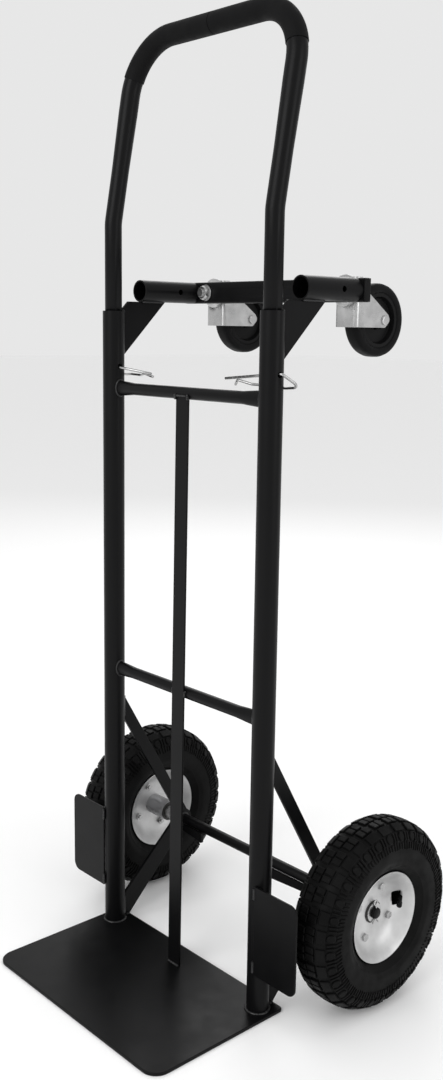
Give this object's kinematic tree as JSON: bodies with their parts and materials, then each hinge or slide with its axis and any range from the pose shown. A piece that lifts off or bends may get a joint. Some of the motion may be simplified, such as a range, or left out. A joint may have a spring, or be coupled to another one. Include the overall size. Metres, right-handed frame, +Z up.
{
  "type": "convertible hand truck",
  "caption": "Upright hand truck with a flat toe plate, air-filled wheels, a tall looped handle that lifts out, and swivel casters for use as a platform cart.",
  "frame": {"origin": "on the floor plane, midway between the two rails, below their axes; the underside of the toe plate lies on it", "axes": "+Z up along the rails, -Y towards the front edge of the toe plate, +Y towards the wheels and casters, +X to the right of a person who stands behind the truck"},
  "size_m": [0.568, 0.4887, 1.3582],
  "materials": {
    "black_paint": "semi-gloss powder coat",
    "zinc": "bright zinc plate",
    "bearing_steel": "ground steel",
    "rim_silver": "silver paint",
    "tyre_rubber": "matt rubber",
    "tube_rubber": "smooth rubber",
    "caster_rubber": "satin rubber",
    "caster_plastic": "moulded, slightly glossy",
    "black_plastic": "moulded",
    "grip_vinyl": "dipped vinyl, matt"
  },
  "bodies": {
    "frame": {"toe_plate": "black_paint", "upper_crossbar": "black_paint", "middle_crossbar": "black_paint", "centre_strap": "black_paint", "axle": "black_paint", "axle_stays": "black_paint", "axle_spacers": "zinc", "axle_washers": "zinc", "cotter_pins": "zinc", "caster_bar": "black_paint", "caster_bar_caps": "black_plastic", "stem_washers": "zinc", "stem_nuts": "zinc", "rail_left": "black_paint", "rail_right": "black_paint", "wheel_guard_left": "black_paint", "wheel_guard_right": "black_paint", "upper_brace_left": "black_paint", "upper_brace_right": "black_paint", "lower_brace_left": "black_paint", "lower_brace_right": "black_paint", "socket_gusset_left": "black_paint", "socket_gusset_right": "black_paint", "handle_socket_left": "black_paint", "handle_socket_right": "black_paint", "caster_stem_left": "zinc", "caster_stem_right": "zinc", "caster_race_left": "zinc", "caster_race_right": "zinc"},
    "handle": {"handle_tube": "black_paint", "grip_left": "grip_vinyl", "grip_right": "grip_vinyl"},
    "wheel_left": {"tyre_left": "tyre_rubber", "inner_tube_left": "tube_rubber", "valve_cap_left": "black_plastic", "hub_left": "rim_silver", "wheel_bearings_left": "bearing_steel", "rim_bolts_left": "zinc", "rim_outer_left": "rim_silver", "rim_inner_left": "rim_silver"},
    "caster_swivel_left": {"caster_fork_left": "zinc", "caster_axle_left": "zinc", "swivel_balls_left": "bearing_steel"},
    "caster_wheel_left": {"caster_core_left": "caster_plastic", "caster_tread_left": "caster_rubber"},
    "pin_left": {"hitch_pin_left": "zinc"},
    "wheel_right": {"tyre_right": "tyre_rubber", "inner_tube_right": "tube_rubber", "valve_cap_right": "black_plastic", "hub_right": "rim_silver", "wheel_bearings_right": "bearing_steel", "rim_bolts_right": "zinc", "rim_outer_right": "rim_silver", "rim_inner_right": "rim_silver"},
    "caster_swivel_right": {"caster_fork_right": "zinc", "caster_axle_right": "zinc", "swivel_balls_right": "bearing_steel"},
    "caster_wheel_right": {"caster_core_right": "caster_plastic", "caster_tread_right": "caster_rubber"},
    "pin_right": {"hitch_pin_right": "zinc"}
  },
  "joints": [
    {"name": "wheel_spin_left", "type": "hinge", "parent": "frame", "child": "wheel_left", "pos_m": [-0.246, 0.1417, 0.1367], "axis": [1, 0, 0], "continuous": true},
    {"name": "caster_swivel_left", "type": "hinge", "parent": "frame", "child": "caster_swivel_left", "pos_m": [-0.134, 0.1712, 0.998], "axis": [0, 1, 0], "continuous": true},
    {"name": "caster_spin_left", "type": "hinge", "parent": "caster_swivel_left", "child": "caster_wheel_left", "pos_m": [-0.134, 0.2317, 0.9593], "axis": [1, 0, 0], "continuous": true},
    {"name": "pin_pull_left", "type": "slide", "parent": "frame", "child": "pin_left", "axis": [-0.9959, 0, 0.0906], "range_m": [0, 0.105], "deforming": ["hitch_pin_left"]},
    {"name": "wheel_spin_right", "type": "hinge", "parent": "frame", "child": "wheel_right", "pos_m": [0.246, 0.1417, 0.1367], "axis": [1, 0, 0], "continuous": true},
    {"name": "caster_swivel_right", "type": "hinge", "parent": "frame", "child": "caster_swivel_right", "pos_m": [0.134, 0.1712, 0.998], "axis": [0, 1, 0], "continuous": true},
    {"name": "caster_spin_right", "type": "hinge", "parent": "caster_swivel_right", "child": "caster_wheel_right", "pos_m": [0.134, 0.2317, 0.9593], "axis": [1, 0, 0], "continuous": true},
    {"name": "pin_pull_right", "type": "slide", "parent": "frame", "child": "pin_right", "axis": [0.9959, 0, 0.0906], "range_m": [0, 0.105], "deforming": ["hitch_pin_right"]},
    {"name": "handle_lift", "type": "slide", "parent": "frame", "child": "handle", "axis": [0, 0, 1], "range_m": [0, 0.135]}
  ]
}
